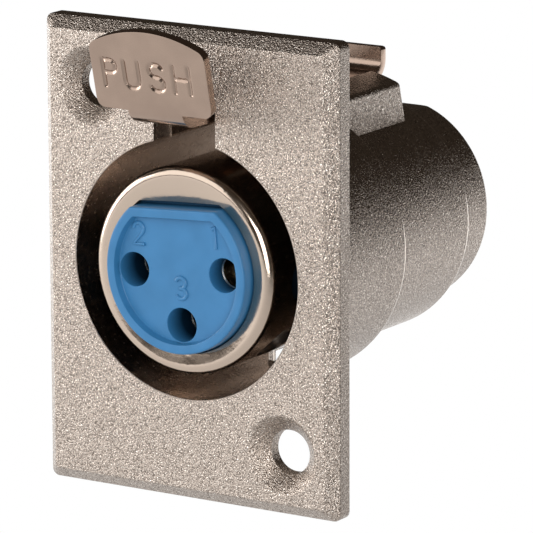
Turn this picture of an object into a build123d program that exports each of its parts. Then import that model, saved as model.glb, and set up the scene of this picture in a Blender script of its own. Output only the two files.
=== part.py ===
from build123d import *
from math import cos, radians, sin, sqrt, tan
import os

# Female three-pole panel socket, in millimetres.
# The origin is on the socket axis in the flange's back face, which lies on the panel.
# The flange looks along -Y, the shroud runs back along +Y and the latch is on top, at +Z.
# A depth is a distance behind the flange's front face.

# Clearances between pieces
seat_gap = 0.03
slide_gap = 0.06
running_gap = 0.05
nose_gap = 0.15
groove_gap = 0.25
slot_gap = 0.34
slot_headroom = 0.13
ear_gap = 0.15
ear_room = 0.8
tail_gap = 0.2
spring_gap = 0.2

# Flange
flange_width = 26.0
flange_height = 36.0
flange_rise = 0.2
flange_thickness = 2.3
flange_bevel = 0.95
flange_front_corner = 0.3
flange_corner = 0.6
screw_side_inset = 4.6
screw_end_inset = 4.9
screw_hole_radius = 1.7
countersink_radius = 2.95
screw_x = flange_width / 2 - screw_side_inset
screw_z = flange_height / 2 - screw_end_inset

# Entry bore, and the barrel that a plug's shell slides over
entry_radius = 9.88
entry_depth = 13.4
barrel_radius = 7.9
barrel_wall = 0.7
barrel_front = -0.45
barrel_seat_length = 4.1
lip_crest_radius = 7.2
lip_chords = 2
lip_web_radius = 5.2
lip_web_depth = -0.1
window_radius = 1.85
window_depth = 4.85
window_angles = (-7.0, -50.0, -130.0, -173.0)
barrel_bore_radius = barrel_radius - barrel_wall
barrel_end = entry_depth + barrel_seat_length

# Shroud, which steps in twice towards the rear
front_wall = 0.77
front_step_wall = 1.0
middle_wall = 1.5
middle_shroud_overhang = 2.4
rear_wall = 1.0
rear_flat_wall = 0.5
rear_sleeve_length = 4.9
shroud_edge = 0.2
drain_half_width = 1.25
drain_length = 3.0
front_shroud_radius = entry_radius + front_wall
front_shroud_end = entry_depth + front_step_wall
middle_shroud_radius = barrel_radius + middle_wall
rear_sleeve_radius = barrel_bore_radius + rear_wall
rear_flat_height = barrel_bore_radius + rear_flat_wall

# Inserts
insert_turn = 3.2
nose_front = -1.45
nose_radius = 6.15
nose_flat = 4.86
nose_chamfer = 0.1
rim_width = 0.62
face_recess = 0.6
front_insert_setback = 1.4
rear_insert_length = 12.5
tongue_half_width = 2.4
tongue_bottom = 4.6
tongue_margin = 1.6
insert_radius = barrel_bore_radius - seat_gap
front_insert_end = entry_depth - front_insert_setback
rear_insert_end = front_insert_end + rear_insert_length
front_insert_shoulder = lip_web_depth + barrel_wall + seat_gap

# Contacts
pole_circle_radius = 4.0
pole_angles = (0.0, 180.0, 270.0)
contact_fronts = (0.9, 2.4, 2.4)
contact_bore_radius = 1.24
contact_bore_length = 8.5
contact_wall = 0.28
slit_width = 0.4
slit_length = 5.5
shank_radius = 0.75
cup_bore_radius = 0.9
cup_wall = 0.4
cup_standoff = 0.3
cup_length = 5.1
cup_bore_length = 4.0
cup_scoop_length = 2.0
contact_radius = contact_bore_radius + contact_wall
pin_hole_radius = contact_bore_radius + slide_gap
cup_radius = cup_bore_radius + cup_wall
cup_start = rear_insert_end + cup_standoff
cup_end = cup_start + cup_length

# Hinge of the lever, behind the shelf that its arm rests on
stop_shelf_length = 3.0
hinge_height = 10.15
hinge_pin_radius = 0.6
ear_radius = 0.8
pin_blind_wall = 0.9
stop_shelf_end = entry_depth + stop_shelf_length
hinge_depth = stop_shelf_end + ear_room + ear_radius
ear_pocket_end = hinge_depth + ear_radius + ear_room

# Spring under the lever's rear end
spring_margin = 1.8
spring_radius = 1.1
spring_wire = 0.2
spring_turns = 2.0
spring_wire_sides = 4
spring_floor_wall = 1.4
spring_depth = ear_pocket_end + spring_margin
spring_pocket_radius = spring_radius + spring_wire + spring_gap
spring_pocket_floor = barrel_bore_radius + spring_floor_wall

# Latch lever, bent from one sheet
sheet = 0.7
arm_half_width = 2.4
arm_front_depth = -1.8
arm_front_height = 11.45
arm_fall = 0.0237
tail_standoff = 0.5
tail_top = 13.4
tail_corner = 0.25
tab_foot_depth = -3.95
tab_foot_height = 13.0
tab_lean = 13.7
tab_half_width = 5.05
tab_shoulder = 17.45
tab_top = 18.75
tab_bottom = 12.55
tab_top_corner = 0.45
tab_foot_corner = 0.7
bend_radius = 0.9
hook_root = 6.9
hook_tip = 9.6
hook_bottom = 8.85
hook_half_width = 1.3
lance_gap = 0.3
lance_end = 10.4
latch_travel = 4.5

# Latch cheeks on top of the shroud
cheek_wall = 2.35
cheek_crown = 12.14
cheek_edge = 0.3
cheek_rear_margin = 1.0
cheek_rear_slant = 1.1
groove_half_width = arm_half_width + groove_gap
slot_half_width = arm_half_width + slot_gap
cheek_outer = groove_half_width + cheek_wall
cheek_rear_top = spring_depth + cheek_rear_margin
cheek_rear_foot = cheek_rear_top + cheek_rear_slant
pin_blind_end = cheek_outer - pin_blind_wall
tail_depth = cheek_rear_foot + tail_standoff
middle_shroud_end = cheek_rear_foot + middle_shroud_overhang
rear_sleeve_end = middle_shroud_end + rear_sleeve_length

# Screw that holds the inserts
insert_screw_margin = 2.1
insert_screw_radius = 1.0
insert_screw_tip = 5.3
insert_screw_socket = 0.5
insert_screw_socket_depth = 1.0
insert_screw_depth = middle_shroud_end + insert_screw_margin

# How far a cutting shape reaches past the material that it cuts
overcut = sheet


def across(depth):
    """The plane across the socket at a depth, seen from the front: X right, Z up."""
    return Plane(origin=(0, depth - flange_thickness, 0), x_dir=(1, 0, 0), z_dir=(0, -1, 0))


def run_back(outline, start, end):
    """A flat outline, drawn as seen from the front, made solid between two depths."""
    return extrude(across(start) * outline, amount=start - end)


def rod(radius, start, end):
    """A solid cylinder on the socket axis."""
    return run_back(Circle(radius), start, end)


def above(height):
    """A rectangle, drawn as seen from the front, that covers everything above a height."""
    return Pos(0, height + flange_height / 2) * Rectangle(flange_width, flange_height)


def side_block(points, left, right):
    """A closed outline of (depth, height) points, seen from the side, made solid from left to right."""
    shifted = [(depth - flange_thickness, height) for depth, height in points]
    plane = Plane(origin=(left, 0, 0), x_dir=(0, 1, 0), z_dir=(1, 0, 0))
    return extrude(plane * make_face(Polyline(*shifted, close=True)), amount=right - left)


def side_rod(radius, depth, height, left, right):
    """A solid cylinder along X at a depth and a height."""
    plane = Plane(origin=(left, depth - flange_thickness, height), x_dir=(0, 1, 0), z_dir=(1, 0, 0))
    return extrude(plane * Circle(radius), amount=right - left)


def upright_rod(radius, depth, bottom, top):
    """A solid cylinder along Z in the plane of symmetry."""
    plane = Plane(origin=(0, depth - flange_thickness, bottom), z_dir=(0, 0, 1))
    return extrude(plane * Circle(radius), amount=top - bottom)


def turned(solid):
    """What belongs to the insert, turned with it about the socket axis."""
    return solid.rotate(Axis.Y, -insert_turn)


def arm_underside(depth):
    """The height of the lever arm's lower face at a depth."""
    return arm_front_height - arm_fall * (depth - arm_front_depth)


def lever_rise(depth):
    """How far the lever rises at a depth when it is pressed all the way; below zero behind the hinge."""
    return (hinge_depth - depth) * tan(radians(latch_travel))


def make_flange():
    """The rectangular flange, with its front edge bevelled and its screw holes countersunk."""
    plate = Pos(0, flange_rise) * RectangleRounded(flange_width, flange_height, flange_corner)
    front_width = flange_width - 2 * flange_bevel
    front_height = flange_height - 2 * flange_bevel
    front = Pos(0, flange_rise) * RectangleRounded(front_width, front_height, flange_front_corner)
    flange = run_back(plate, flange_bevel, flange_thickness)
    flange += loft([across(0) * front, across(flange_bevel) * plate], ruled=True)
    sink = countersink_radius - screw_hole_radius
    cone = Cone(countersink_radius, screw_hole_radius, sink)
    cone = cone.rotate(Axis.X, -90).translate((0, sink / 2 - flange_thickness, 0))
    hole = rod(screw_hole_radius, 0, flange_thickness) + cone
    for side in (-1, 1):
        flange -= Pos(side * screw_x, 0, -side * screw_z) * hole
    return flange


def make_shroud():
    """The stepped round body behind the flange, solid inside for now."""
    shroud = rod(front_shroud_radius, flange_thickness, front_shroud_end)
    middle = rod(middle_shroud_radius, flange_thickness, middle_shroud_end)
    shroud += chamfer(middle.faces().sort_by(Axis.Y)[-1].edges(), shroud_edge)
    sleeve = rod(rear_sleeve_radius, flange_thickness, rear_sleeve_end)
    return shroud + (sleeve - run_back(above(rear_flat_height), middle_shroud_end, rear_sleeve_end))


def make_cheeks():
    """The block on top of the shroud that becomes the two latch cheeks, its top round about the axis."""
    foot_height = sqrt(middle_shroud_radius**2 - cheek_outer**2)
    side = [
        (flange_thickness, 0),
        (flange_thickness, cheek_crown),
        (cheek_rear_top, cheek_crown),
        (cheek_rear_foot, foot_height),
        (cheek_rear_foot, 0),
    ]
    block = side_block(side, -cheek_outer, cheek_outer)
    block = block & rod(cheek_crown, flange_thickness, cheek_rear_foot)
    return chamfer(block.edges().filter_by(Axis.Y).sort_by(Axis.Z)[-2:], cheek_edge)


def groove_cut():
    """The groove between the cheeks, with the shelf that the arm rests on and the pockets behind it."""
    top = cheek_crown + overcut
    rear = cheek_rear_foot + overcut
    tail_end = tail_depth + sheet
    stop_shelf = arm_underside(stop_shelf_end) - seat_gap
    ear_floor = hinge_height - ear_radius - ear_gap
    tail_shelf = arm_underside(tail_end) + lever_rise(tail_end) - tail_gap
    section = [
        (flange_thickness, 0),
        (entry_depth, 0),
        (entry_depth, stop_shelf),
        (stop_shelf_end, stop_shelf),
        (stop_shelf_end, ear_floor),
        (ear_pocket_end, ear_floor),
        (ear_pocket_end, tail_shelf),
        (rear, tail_shelf),
        (rear, top),
        (flange_thickness, top),
    ]
    groove = side_block(section, -groove_half_width, groove_half_width)
    return groove + upright_rod(spring_pocket_radius, spring_depth, spring_pocket_floor, tail_shelf)


def slot_cut():
    """The slot above the entry bore, as high as the arm rises."""
    slot_top = arm_underside(0) + sheet + lever_rise(0) + slot_headroom
    outline = Pos(0, slot_top / 2) * Rectangle(2 * slot_half_width, slot_top)
    return run_back(outline, 0, flange_thickness)


def drain_cut():
    """The window through the shroud's wall below the barrel, at the bottom of the entry."""
    outline = Pos(0, -front_shroud_radius) * Rectangle(2 * drain_half_width, front_shroud_radius)
    return run_back(outline, entry_depth, entry_depth + drain_length)


def make_housing():
    """The die casting: flange, stepped shroud and latch cheeks in one piece."""
    housing = make_flange() + make_cheeks() + make_shroud()
    housing -= groove_cut() + slot_cut()
    housing -= rod(entry_radius, 0, entry_depth)
    housing -= rod(barrel_radius + seat_gap, entry_depth, barrel_end + seat_gap)
    housing -= rod(barrel_bore_radius, barrel_end, rear_sleeve_end)
    housing -= drain_cut()
    pin_radius = hinge_pin_radius + seat_gap
    housing -= side_rod(pin_radius, hinge_depth, hinge_height, -cheek_outer, pin_blind_end + seat_gap)
    return housing - upright_rod(insert_screw_radius + seat_gap, insert_screw_depth, 0, rear_sleeve_radius)


def nose_outline(radius, flat):
    """The D shape of the insert's nose: a circle cut flat at the top."""
    return Circle(radius) - above(flat)


def make_barrel():
    """The drawn sleeve: rolled lip, web with a D-shaped opening, round windows in its side."""
    y_front = barrel_front - flange_thickness
    y_web = lip_web_depth - flange_thickness
    y_end = barrel_end - flange_thickness
    roll = barrel_radius - lip_crest_radius
    opening_radius = nose_radius + nose_gap
    turns = [radians(90 * step / lip_chords) for step in range(lip_chords + 1)]
    lip = [(lip_crest_radius + roll * cos(turn), y_front + roll - roll * sin(turn)) for turn in turns]
    profile = [(barrel_radius, y_end), *lip, (lip_web_radius, y_web), (0, y_web), (0, y_end)]
    barrel = revolve(make_face(Polyline(*profile, close=True)), axis=Axis.Y)
    barrel -= rod(barrel_bore_radius, lip_web_depth + barrel_wall, barrel_end)
    opening = nose_outline(opening_radius, nose_flat + nose_gap)
    barrel -= run_back(opening, barrel_front, barrel_end)
    for angle in window_angles:
        outwards = (cos(radians(angle)), 0, sin(radians(angle)))
        plane = Plane(origin=(0, window_depth - flange_thickness, 0), z_dir=outwards)
        barrel -= extrude(plane * Circle(window_radius), amount=barrel_radius + overcut)
    return turned(barrel)


def at_pole(angle, solid):
    """A solid on the socket axis, moved to a pole's own axis and turned with the insert."""
    x = pole_circle_radius * cos(radians(angle))
    z = pole_circle_radius * sin(radians(angle))
    return turned(Pos(x, 0, z) * solid)


def make_front_insert():
    """The blue insulator with its raised rim, pin holes and the shoulder behind the barrel's web."""
    nose = run_back(nose_outline(nose_radius, nose_flat), nose_front, front_insert_shoulder)
    front_edges = nose.faces().sort_by(Axis.Y)[0].edges()
    nose = chamfer(front_edges, nose_chamfer)
    rim = nose_chamfer + rim_width
    floor = nose_outline(nose_radius - rim, nose_flat - rim)
    nose -= run_back(floor, nose_front, nose_front + face_recess)
    insert = turned(nose) + rod(insert_radius, front_insert_shoulder, front_insert_end)
    for angle, contact_front in zip(pole_angles, contact_fronts):
        hole = rod(pin_hole_radius, nose_front, contact_front)
        hole += rod(contact_radius + slide_gap, contact_front - slide_gap, front_insert_end)
        insert -= at_pole(angle, hole)
    return insert


def make_rear_insert():
    """The rear insulator: the shanks' holes and the tongue under the screw."""
    insert = rod(insert_radius, front_insert_end + seat_gap, rear_insert_end)
    tongue_height = insert_radius - tongue_bottom
    tongue = Pos(0, tongue_bottom + tongue_height / 2) * Rectangle(2 * tongue_half_width, tongue_height)
    tongue = tongue & Circle(insert_radius)
    insert += run_back(tongue, rear_insert_end, insert_screw_depth + tongue_margin)
    for angle in pole_angles:
        insert -= at_pole(angle, rod(shank_radius + slide_gap, front_insert_end, rear_insert_end))
    screw_top = insert_radius + overcut
    return insert - upright_rod(insert_screw_radius + seat_gap, insert_screw_depth, tongue_bottom, screw_top)


def make_contact(angle, contact_front):
    """One turned contact: slit socket, held between the two inserts, shank and solder cup."""
    contact = rod(contact_radius, contact_front, front_insert_end)
    contact += rod(shank_radius, front_insert_end, cup_start)
    contact += rod(cup_radius, cup_start, cup_end)
    contact -= rod(contact_bore_radius, contact_front, contact_front + contact_bore_length)
    slit = Rectangle(slit_width, 2 * (contact_radius + overcut))
    contact -= run_back(slit, contact_front, contact_front + slit_length)
    contact -= rod(cup_bore_radius, cup_end - cup_bore_length, cup_end)
    contact -= run_back(above(0), cup_end - cup_scoop_length, cup_end)
    return at_pole(angle, contact)


def tab_front(height):
    """The depth of the tab's leaning front face at a height."""
    return tab_foot_depth - tan(radians(tab_lean)) * (height - tab_foot_height)


def lever_path():
    """The front and lower line of the bent sheet, from above the tab to above the tail."""
    foot_height = arm_underside(tab_foot_depth)
    tail_end = tail_depth + sheet
    points = [
        (tab_front(tab_top + overcut), tab_top + overcut),
        (tab_front(foot_height), foot_height),
        (tail_end, arm_underside(tail_end)),
        (tail_end, tail_top + overcut),
    ]
    return [(depth - flange_thickness, height) for depth, height in points]


def tab_outline():
    """The tab as seen from the front: straight sides, an arched top and rounded corners."""
    left = Line((-tab_half_width, tab_bottom), (-tab_half_width, tab_shoulder))
    arch = ThreePointArc(left @ 1, (0, tab_top), (tab_half_width, tab_shoulder))
    right = Line(arch @ 1, (tab_half_width, tab_bottom))
    foot = Line(right @ 1, left @ 0)
    outline = make_face([left, arch, right, foot])
    outline = fillet(outline.vertices().sort_by(Axis.Y)[:2], tab_foot_corner)
    return fillet(outline.vertices().sort_by(Axis.Y)[-2:], tab_top_corner)


def make_bent_sheet():
    """The lever's sheet, bent and trimmed, before its hook and ears."""
    outer_line = Plane.YZ * FilletPolyline(*lever_path(), radius=bend_radius + sheet)
    section = make_face(offset(outer_line, amount=sheet, side=Side.RIGHT, closed=True))
    bent = extrude(section, amount=tab_half_width + overcut, both=True)
    tab = run_back(tab_outline(), tab_front(tab_top) - overcut, arm_front_depth)
    arm = Pos(0, tail_top / 2) * Rectangle(2 * arm_half_width, tail_top)
    bent = bent & (tab + run_back(arm, tab_foot_depth - overcut, tail_depth + sheet + overcut))
    tail_corners = bent.edges().filter_by(Axis.Y).sort_by(Axis.Y)[-2:]
    return fillet(tail_corners, tail_corner)


def lance_cut():
    """The window in the arm that the hook is lanced out of."""
    half_width = hook_half_width + lance_gap
    top = cheek_crown + overcut
    section = [(hook_root, hook_bottom), (lance_end, hook_bottom), (lance_end, top), (hook_root, top)]
    return side_block(section, -half_width, half_width)


def make_hook():
    """The tongue lanced out of the arm: a ramp towards the plug and a square catching end."""
    root_height = arm_underside(hook_root)
    slope = (root_height - hook_bottom) / (hook_tip - hook_root)
    section = [
        (hook_root - sheet, root_height + sheet / 2),
        (hook_root - sheet, root_height),
        (hook_root, root_height),
        (hook_tip, hook_bottom),
        (hook_tip, hook_bottom + sheet * sqrt(1 + slope * slope)),
        (hook_root + sheet / 2, root_height + sheet / 2),
    ]
    return side_block(section, -hook_half_width, hook_half_width)


def make_ears():
    """The two ears bent down from the arm's edges, with the hinge holes."""
    front = hinge_depth - ear_radius
    rear = hinge_depth + ear_radius
    root = arm_underside(hinge_depth) + sheet / 2
    section = [(front, hinge_height), (front, root), (rear, root), (rear, hinge_height)]
    inner = arm_half_width - sheet
    ear = side_block(section, inner, arm_half_width)
    ear += side_rod(ear_radius, hinge_depth, hinge_height, inner, arm_half_width)
    ear -= side_rod(hinge_pin_radius + running_gap, hinge_depth, hinge_height, inner, arm_half_width)
    return ear + mirror(ear, about=Plane.YZ)


def make_latch_lever():
    """The latch: tab, arm, hook, ears and upturned tail, all of one sheet."""
    return make_bent_sheet() - lance_cut() + make_hook() + make_ears()


def make_latch_pin():
    """The plain pin across the cheeks, flush on the left and blind on the right."""
    return side_rod(hinge_pin_radius, hinge_depth, hinge_height, -cheek_outer, pin_blind_end)


def make_latch_spring():
    """The coil under the lever's rear end, from its pocket's floor up to the arm."""
    bottom = spring_pocket_floor + spring_wire + seat_gap
    top = arm_underside(spring_depth) - spring_wire - 2 * seat_gap
    height = top - bottom
    helix = Helix(pitch=height / spring_turns, height=height, radius=spring_radius)
    wire = RegularPolygon(spring_wire, spring_wire_sides)
    coil = sweep(Plane(origin=helix @ 0, z_dir=helix % 0) * wire, path=helix)
    return Pos(0, spring_depth - flange_thickness, bottom) * coil


def make_insert_screw():
    """The grub screw in the flat of the rear sleeve, with its hexagon socket."""
    top = rear_flat_height - seat_gap
    screw = upright_rod(insert_screw_radius, insert_screw_depth, insert_screw_tip, top)
    plane = Plane(origin=(0, insert_screw_depth - flange_thickness, top), z_dir=(0, 0, 1))
    return screw - extrude(plane * RegularPolygon(insert_screw_socket, 6), amount=-insert_screw_socket_depth)


nodes = {
    "housing": make_housing(),
    "barrel": make_barrel(),
    "front_insert": make_front_insert(),
    "rear_insert": make_rear_insert(),
    "latch_lever": make_latch_lever(),
    "latch_pin": make_latch_pin(),
    "latch_spring": make_latch_spring(),
    "insert_screw": make_insert_screw(),
}
for number, (angle, contact_front) in enumerate(zip(pole_angles, contact_fronts), start=1):
    nodes[f"contact_{number}"] = make_contact(angle, contact_front)

os.makedirs("parts", exist_ok=True)
for name, solid in nodes.items():
    export_step(solid, f"parts/{name}.step")
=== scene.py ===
from contextlib import contextmanager
from math import acos, cos, degrees, pi, radians, sin, sqrt, tan

import bmesh
import bpy
from bpy.props import FloatProperty, FloatVectorProperty, PointerProperty
from mathutils import Matrix, Vector


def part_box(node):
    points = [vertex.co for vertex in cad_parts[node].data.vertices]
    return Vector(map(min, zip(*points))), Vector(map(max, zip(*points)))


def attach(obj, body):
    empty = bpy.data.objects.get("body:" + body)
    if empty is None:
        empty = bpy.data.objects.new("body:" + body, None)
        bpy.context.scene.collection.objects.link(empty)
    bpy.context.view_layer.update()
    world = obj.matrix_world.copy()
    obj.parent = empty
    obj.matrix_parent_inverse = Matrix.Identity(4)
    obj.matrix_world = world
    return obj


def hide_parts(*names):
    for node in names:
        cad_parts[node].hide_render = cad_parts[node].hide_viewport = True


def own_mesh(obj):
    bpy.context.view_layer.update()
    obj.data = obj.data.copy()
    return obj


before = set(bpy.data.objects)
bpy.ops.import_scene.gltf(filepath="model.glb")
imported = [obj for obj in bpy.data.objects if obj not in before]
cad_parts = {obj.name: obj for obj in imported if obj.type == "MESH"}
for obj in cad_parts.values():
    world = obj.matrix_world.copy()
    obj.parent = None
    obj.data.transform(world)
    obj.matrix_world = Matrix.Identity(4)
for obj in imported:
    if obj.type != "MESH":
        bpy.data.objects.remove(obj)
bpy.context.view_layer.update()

bl_info = {
    "name": "Panel Socket",
    "version": (1, 0, 0),
    "blender": (4, 5, 0),
    "location": "View3D > Sidebar > Socket",
    "description": "Visible pieces, finishes, light and camera of a three-pole panel socket",
    "category": "Add Mesh",
}

# Everything is in metres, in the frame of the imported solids: the socket faces -Y and +Z is up.
# A depth is a distance behind the flange's front face.
MM = 0.001
ROUND = 128  # sides of a full circle
WELD = 1e-7  # points nearer to each other than this are one
CLEAR = 1 * MM  # how far a cutter reaches past what it cuts
WIDE = 10 * MM  # past the side of the barrel and of the rear sleeve
CASTING_LOW, CASTING_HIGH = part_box("housing")
FRONT = CASTING_LOW.y


def linear(code):
    """The linear colour of an sRGB hex code, with full alpha."""
    channels = [int(code[i : i + 2], 16) / 255 for i in (1, 3, 5)]
    return [c / 12.92 if c <= 0.04045 else ((c + 0.055) / 1.055) ** 2.4 for c in channels] + [1.0]


def length(name, description, millimetres):
    """A size that shows in the sidebar, given here in millimetres."""
    default = millimetres * MM
    return FloatProperty(
        name=name, description=description, default=default, unit="LENGTH", precision=5
    )


def angle(name, description, value):
    """An angle that shows in the sidebar, given here in degrees."""
    default = radians(value)
    return FloatProperty(name=name, description=description, default=default, unit="ROTATION")


def pixels(name, description, count):
    """A distance in the photograph that shows in the sidebar."""
    return FloatProperty(name=name, description=description, default=count, subtype="PIXEL")


def colour(name, description, code):
    """A colour that shows in the sidebar, given here as an sRGB hex code."""
    shown = {"subtype": "COLOR", "size": 4, "min": 0, "max": 1}
    return FloatVectorProperty(name=name, description=description, default=linear(code), **shown)


class SocketCasting(bpy.types.PropertyGroup):
    """Sizes of the die-cast housing"""

    bevel: length("Bevel", "Width of the bevel round the flange's front", 0.95)
    corner: length("Corner", "Corner radius of the flange's outline", 0.6)
    front_corner: length("Front corner", "Corner radius of the flange's front face", 0.3)
    flange_edge: length("Flange edge", "Rounding of the edges of the flange's bevel", 0.2)
    edge: length("Edge", "Rounding left on the casting's sharp edges", 0.09)
    screw_x: length("Screw X", "Screw hole to the side of the axis", 8.4)
    screw_z: length("Screw Z", "Screw hole above or below the axis", 13.1)
    screw_radius: length("Screw hole", "Radius of the screw holes", 1.7)
    sink_radius: length("Countersink", "Radius of the countersinks", 2.95)
    entry_radius: length("Entry radius", "Radius of the bore that takes a plug", 9.88)
    entry_depth: length("Entry depth", "Depth of the bore that takes a plug", 13.4)
    seat_radius: length("Barrel seat radius", "Radius of the bore that holds the barrel", 7.93)
    seat_end: length("Barrel seat end", "Depth where the barrel's seat ends", 17.53)
    rear_bore: length("Rear bore", "Radius of the bore behind the barrel", 7.2)
    front_radius: length("Front step", "Radius of the shroud's first step", 10.65)
    front_end: length("Front step end", "Depth where the first step ends", 14.4)
    middle_radius: length("Middle step", "Radius of the shroud's second step", 9.4)
    middle_end: length("Middle step end", "Depth where the second step ends", 25.9)
    sleeve_radius: length("Rear sleeve", "Radius of the sleeve round the solder cups", 8.2)
    flat_height: length("Rear flat", "Height of the flat on the rear sleeve", 7.7)
    shroud_edge: length("Shroud edge", "Rounding of the shroud's steps", 0.4)
    cheek_half: length("Cheek", "Half the width over both latch cheeks", 5.0)
    crown: length("Crown", "Radius of the cheeks' round top about the axis", 12.14)
    crown_edge: length("Crown edge", "Rounding along the outer edges of that top", 0.3)
    cheek_top_end: length("Cheek top end", "Depth where the cheeks' top ends", 22.4)
    cheek_foot_end: length("Cheek foot end", "Depth where the cheeks' foot ends", 23.5)
    groove_half: length("Groove", "Half the width of the latch groove", 2.65)
    slot_half: length("Slot", "Half the width of the slot in the flange", 2.74)
    slot_top: length("Slot top", "Height of the slot in the flange", 13.66)
    shelf: length("Stop shelf", "Height of the shelf that the latch rests on", 10.99)
    shelf_end: length("Stop shelf end", "Depth where that shelf ends", 16.4)
    ear_floor: length("Ear pocket", "Height of the pocket under the latch's ears", 9.2)
    ear_end: length("Ear pocket end", "Depth where that pocket ends", 19.6)
    tail_shelf: length("Tail shelf", "Height of the shelf under the latch's tail", 10.1)
    drain_half: length("Drain", "Half the width of the window under the barrel", 1.25)
    drain_end: length("Drain end", "Depth where that window ends", 16.4)
    pin_depth: length("Pin depth", "Depth of the hinge pin's hole", 18.0)
    pin_height: length("Pin height", "Height of the hinge pin's hole", 10.15)
    pin_radius: length("Pin hole", "Radius of the hinge pin's hole", 0.63)
    grub_depth: length("Grub depth", "Depth of the grub screw's hole", 28.0)
    grub_radius: length("Grub hole", "Radius of the grub screw's hole", 1.03)


class SocketBarrel(bpy.types.PropertyGroup):
    """Sizes of the drawn barrel"""

    radius: length("Radius", "Outer radius of the barrel", 7.9)
    wall: length("Wall", "Wall of the barrel", 0.7)
    front: length("Front", "Depth of the lip's crest", -0.45)
    end: length("End", "Depth where the barrel ends", 17.5)
    crest: length("Crest", "Radius of the lip's crest", 7.2)
    web_depth: length("Web depth", "Depth of the web inside the lip", -0.1)
    web_radius: length("Web radius", "Radius where the lip has run out into the web", 5.2)
    opening: length("Opening", "Radius of the opening for the nose", 6.3)
    opening_flat: length("Opening flat", "Height of the flat side of the opening", 5.2)
    window_radius: length("Window", "Radius of the round windows", 1.78)
    window_depth: length("Window depth", "Depth of the round windows", 4.2)


class SocketInsert(bpy.types.PropertyGroup):
    """Sizes of the insulator and its contacts"""

    turn: angle("Turn", "How far the insert is turned in the housing", 3.2)
    front: length("Front", "Depth of the nose's rim", -1.45)
    radius: length("Radius", "Radius of the nose", 6.15)
    flat: length("Flat", "Height of the flat side of the nose", 4.86)
    chamfer: length("Chamfer", "Bevel round the nose", 0.1)
    rim: length("Rim", "Width of the raised rim", 0.62)
    recess: length("Recess", "Depth of the face below the rim", 0.6)
    draft: length("Draft", "Slant of the rim's inner wall", 0.12)
    corner: length("Corner", "Rounding where the flat meets the round side", 0.35)
    shoulder: length("Shoulder", "Depth where the insert widens", 0.63)
    body_radius: length("Body radius", "Radius of the insert in the barrel", 7.17)
    end: length("End", "Depth where the front insert ends", 12.0)
    pole_radius: length("Pole circle", "Radius of the circle through the poles", 4.0)
    hole_radius: length("Pin hole", "Radius of the pin holes", 1.3)
    hole_edge: length("Hole edge", "Rounding of the pin holes", 0.07)
    digit_height: length("Digit height", "Height of the pole numbers", 1.62)
    digit_stroke: length("Digit stroke", "Radius of the strokes of the pole numbers", 0.17)
    contact_radius: length("Contact", "Outer radius of a contact", 1.5)
    contact_bore: length("Contact bore", "Radius of a contact's bore", 1.24)
    bore_length: length("Bore length", "Length of a contact's bore", 8.5)
    slit: length("Slit", "Width of a contact's slit", 0.4)
    slit_length: length("Slit length", "Length of a contact's slit", 5.5)
    shank_radius: length("Shank", "Radius of a contact's shank", 0.75)
    cup_radius: length("Cup", "Outer radius of a solder cup", 1.3)
    cup_bore: length("Cup bore", "Radius of a solder cup's bore", 0.9)
    cup_start: length("Cup start", "Depth where the solder cups start", 24.8)
    cup_end: length("Cup end", "Depth where the solder cups end", 29.9)
    cup_bore_length: length("Cup bore length", "Length of a solder cup's bore", 4.0)
    cup_scoop: length("Cup scoop", "Length of the open side of a solder cup", 2.0)


class SocketLatch(bpy.types.PropertyGroup):
    """Sizes of the bent latch"""

    sheet: length("Sheet", "Thickness of the sheet", 0.7)
    edge: length("Edge", "Rounding of the blanked edges", 0.1)
    arm_half: length("Arm", "Half the width of the arm", 2.4)
    tab_half: length("Tab", "Half the width of the tab", 5.05)
    tab_top: length("Tab top", "Height of the tab's arched top", 18.75)
    shoulder: length("Shoulder", "Height where the arched top meets the sides", 17.45)
    tab_bottom: length("Tab bottom", "Height of the tab's lower edge", 12.55)
    corner: length("Corner", "Rounding of the tab's upper corners", 0.45)
    foot_corner: length("Foot corner", "Rounding of the tab's lower corners", 0.7)
    foot_depth: length("Foot depth", "Depth of the tab's front face at the foot height", -3.95)
    foot_height: length("Foot height", "Height at which the foot depth is given", 13.0)
    lean: angle("Lean", "How far the tab leans forwards", 13.7)
    bend: length("Bend", "Outer radius of the bends", 1.6)
    arm_depth: length("Arm depth", "Depth at which the arm's height is given", -1.8)
    arm_height: length("Arm height", "Height of the arm's lower face there", 11.45)
    fall: angle("Fall", "Slope of the arm towards the rear", 1.358)
    tail_depth: length("Tail depth", "Depth of the upturned tail's front", 24.0)
    tail_top: length("Tail top", "Height of the upturned tail", 13.4)
    tail_corner: length("Tail corner", "Rounding of the tail's corners", 0.25)
    hook_root: length("Hook root", "Depth where the hook leaves the arm", 6.9)
    hook_tip: length("Hook tip", "Depth of the hook's tip", 9.6)
    hook_bottom: length("Hook bottom", "Height of the hook's tip", 8.85)
    hook_half: length("Hook", "Half the width of the hook", 1.3)
    lance_gap: length("Lance gap", "Gap at the sides of the hook", 0.3)
    lance_end: length("Lance end", "Depth where the window behind the hook ends", 10.4)
    hinge_depth: length("Hinge depth", "Depth of the hinge", 18.0)
    hinge_height: length("Hinge height", "Height of the hinge", 10.15)
    ear_radius: length("Ear", "Radius of the ears round the hinge", 0.8)
    ear_hole: length("Ear hole", "Radius of the holes in the ears", 0.65)
    letter_base: length("Letter base", "Height of the letters' lower ends", 14.3)
    letter_height: length("Letter height", "Height of the stamped letters", 2.05)
    letter_stroke: length("Letter stroke", "Half the width of a stamped stroke", 0.21)
    letter_depth: length("Letter depth", "Depth of a stamped stroke", 0.14)


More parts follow.
